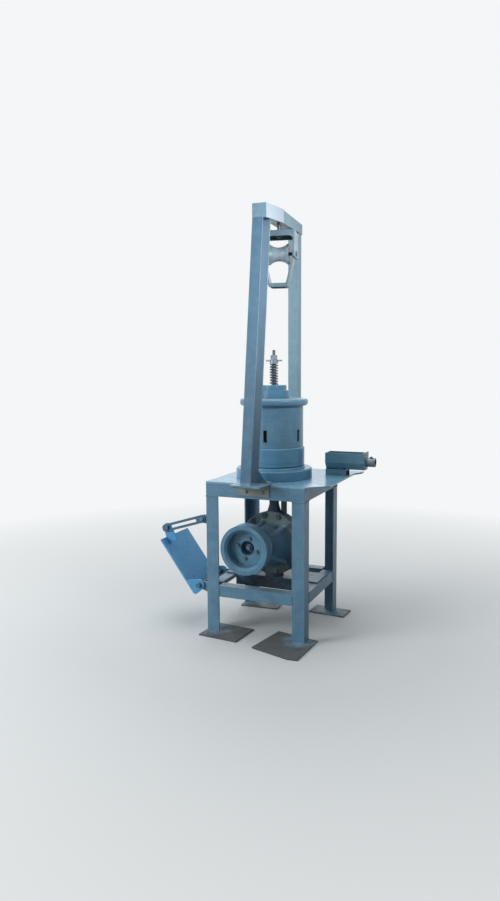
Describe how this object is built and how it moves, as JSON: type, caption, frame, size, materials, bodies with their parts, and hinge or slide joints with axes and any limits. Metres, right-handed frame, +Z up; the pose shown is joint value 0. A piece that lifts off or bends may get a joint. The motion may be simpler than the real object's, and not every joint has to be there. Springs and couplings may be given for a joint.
{
  "type": "tie wire drawing machine",
  "caption": "Floor-standing single-block wire drawing machine: vertical drum on an angle-iron table, geared drive, grooved pulley, tilting motor plate and a portal with a swivelling roller.",
  "frame": {"origin": "on the floor, in the middle of the machine's plan box", "axes": "+Z up; -Y is the front, where the pulley is; +X is the side of the die box; the motor plate leans out at -X"},
  "size_m": [1.2736, 0.996, 2.599],
  "materials": {
    "blue_enamel": "semi-gloss light steel-blue enamel, brushed on, dusty and lightly scuffed",
    "bright_blue_enamel": "semi-gloss stronger blue enamel on the motor plate",
    "grey_green_iron": "old castings under thin grey-green and blue overspray",
    "worn_foot_steel": "rough flame-cut plate, dusty, with patches of blue overspray",
    "bare_steel": "turned and threaded steel, slightly oxidised"
  },
  "bodies": {
    "frame": {"foot_plates": "worn_foot_steel", "front_left_leg": "blue_enamel", "front_right_leg": "blue_enamel", "rear_right_leg": "blue_enamel", "rear_left_leg": "blue_enamel", "top_rail_front": "blue_enamel", "top_rail_right": "blue_enamel", "top_rail_rear": "blue_enamel", "top_rail_left": "blue_enamel", "lower_rail_front": "blue_enamel", "lower_rail_right": "blue_enamel", "lower_rail_rear": "blue_enamel", "lower_rail_left": "blue_enamel", "table_plate": "blue_enamel", "cradle_channel": "blue_enamel", "upright_bracket": "grey_green_iron", "upright_feet": "blue_enamel", "front_upright": "blue_enamel", "rear_upright": "blue_enamel", "upright_gusset": "blue_enamel", "front_beam": "blue_enamel", "rear_beam": "blue_enamel", "bearing_base": "blue_enamel", "axle_housing": "grey_green_iron", "gear_nose": "grey_green_iron", "fork_bolt": "bare_steel", "hinge_lugs": "blue_enamel", "hinge_rod": "bare_steel", "arm_lug": "blue_enamel", "die_box": "blue_enamel", "box_stand": "blue_enamel", "wire_tube": "blue_enamel"},
    "drum_body": {"drum": "blue_enamel", "spindle": "bare_steel", "friction_cap": "blue_enamel", "spindle_spring": "bare_steel", "spindle_nut": "bare_steel"},
    "pulley_body": {"pulley": "blue_enamel"},
    "fork_body": {"guide_fork": "blue_enamel", "roller_axle": "bare_steel"},
    "roller_body": {"guide_roller": "blue_enamel"},
    "plate_body": {"motor_plate": "bright_blue_enamel", "motor_ears": "bright_blue_enamel", "clamp_bolt": "bare_steel"},
    "arm_body": {"slotted_arm": "blue_enamel"}
  },
  "joints": [
    {"name": "drum_spin", "type": "hinge", "parent": "frame", "child": "drum_body", "pos_m": [0.0338, 0.068, 1.2], "axis": [0, 0, 1], "continuous": true},
    {"name": "pulley_spin", "type": "hinge", "parent": "frame", "child": "pulley_body", "pos_m": [0.0058, -0.362, 0.566], "axis": [0, -1, 0], "continuous": true},
    {"name": "fork_swivel", "type": "hinge", "parent": "frame", "child": "fork_body", "pos_m": [0.05273, 0.108, 2.469], "axis": [0, 0, 1], "continuous": true},
    {"name": "roller_spin", "type": "hinge", "parent": "fork_body", "child": "roller_body", "pos_m": [0.05273, 0.108, 2.3365], "axis": [0.9781, 0.2079, 0], "continuous": true},
    {"name": "plate_tilt", "type": "hinge", "parent": "frame", "child": "plate_body", "pos_m": [-0.3462, -0.258, 0.286], "axis": [0, 1, 0], "range_deg": [0, 15]},
    {"name": "arm_swing", "type": "hinge", "parent": "frame", "child": "arm_body", "pos_m": [-0.3502, -0.196, 0.697], "axis": [0, 1, 0], "range_deg": [0, 9]}
  ],
  "couplings": [
    {"joint": "pulley_spin", "follows": "drum_spin", "ratio": 6},
    {"joint": "arm_swing", "follows": "plate_tilt", "ratio": 0.58}
  ]
}
